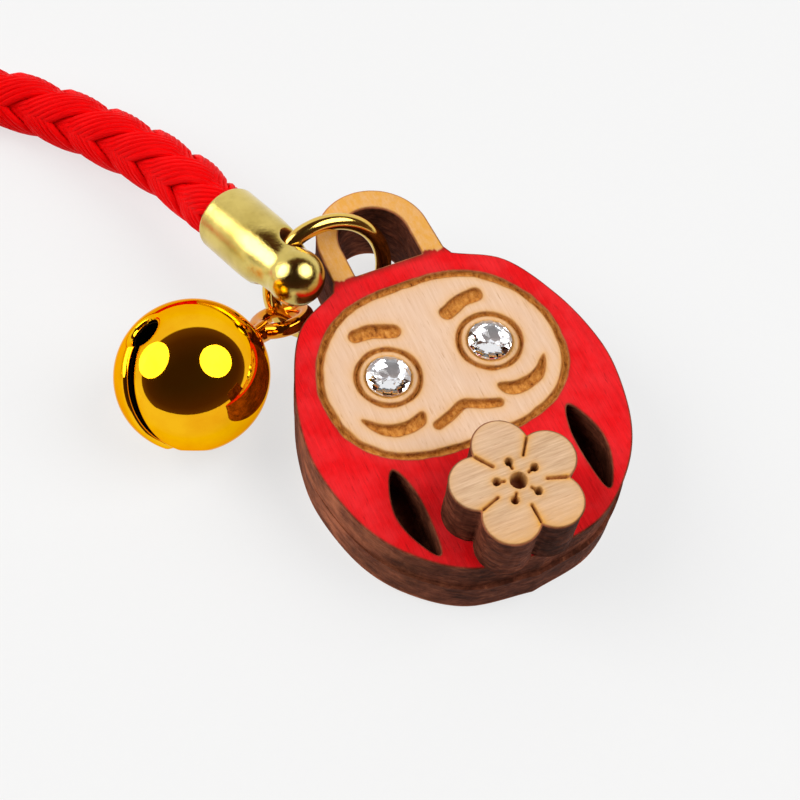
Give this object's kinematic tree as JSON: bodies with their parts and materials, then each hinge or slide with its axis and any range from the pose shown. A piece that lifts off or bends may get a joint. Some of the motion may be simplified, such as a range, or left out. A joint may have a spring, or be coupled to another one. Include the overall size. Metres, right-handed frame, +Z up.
{
  "type": "wooden daruma charm with bell and cord",
  "caption": "Flat wooden daruma doll charm with crystal eyes and a raised belly ornament, on a jump ring with a round bell and a braided cord.",
  "frame": {"origin": "on the surface the charm lies on, at the middle of the bounding box of the charm, ring and bell", "axes": "X across the charm towards its own right in plan, Y towards the hanging loop, Z up out of the face"},
  "size_m": [0.0531, 0.0636, 0.0114],
  "materials": {
    "stained_wood": "red stained laser-cut maple with burnt engraving and a bare face",
    "bare_wood": "laser-cut edge charred dark brown",
    "crystal": "clear faceted flat-back crystal",
    "light_wood": "light sanded top, charred sides",
    "ring_brass": "polished",
    "cord_end_brass": "polished pale brass",
    "bell_gold": "mirror gold plating",
    "pellet_steel": "plain steel ball",
    "cord_fabric": "braided red cord"
  },
  "bodies": {
    "charm": {"front_board": "stained_wood", "back_board": "bare_wood", "crystal_left": "crystal", "crystal_right": "crystal", "plaque": "light_wood"},
    "ring": {"jump_ring": "ring_brass"},
    "strap": {"cord_end": "cord_end_brass", "cord": "cord_fabric", "far_cord_end": "cord_end_brass"},
    "bell": {"bell_shell": "bell_gold", "bell_eye": "bell_gold"},
    "pellet": {"bell_pellet": "pellet_steel"}
  },
  "joints": [
    {"name": "ring_turn", "type": "hinge", "parent": "charm", "child": "ring", "pos_m": [0.00132, 0.01154, 0.00497], "axis": [-0.0515, 0.9326, -0.3573], "range_deg": [-10, 5]},
    {"name": "strap_swing", "type": "hinge", "parent": "ring", "child": "strap", "pos_m": [-0.00217, 0.01235, 0.00751], "axis": [0.6204, 0.3098, 0.7205], "range_deg": [-20, 6]},
    {"name": "bell_swing", "type": "hinge", "parent": "ring", "child": "bell", "pos_m": [-0.00289, 0.01054, 0.00305], "axis": [-0.0121, 0.5789, 0.8153], "range_deg": [-20, 6]},
    {"name": "pellet_roll", "type": "hinge", "parent": "bell", "child": "pellet", "pos_m": [-0.01114, 0.00696, 0.00547], "axis": [0.8858, 0.3844, -0.2598], "range_deg": [-40, 40]}
  ]
}
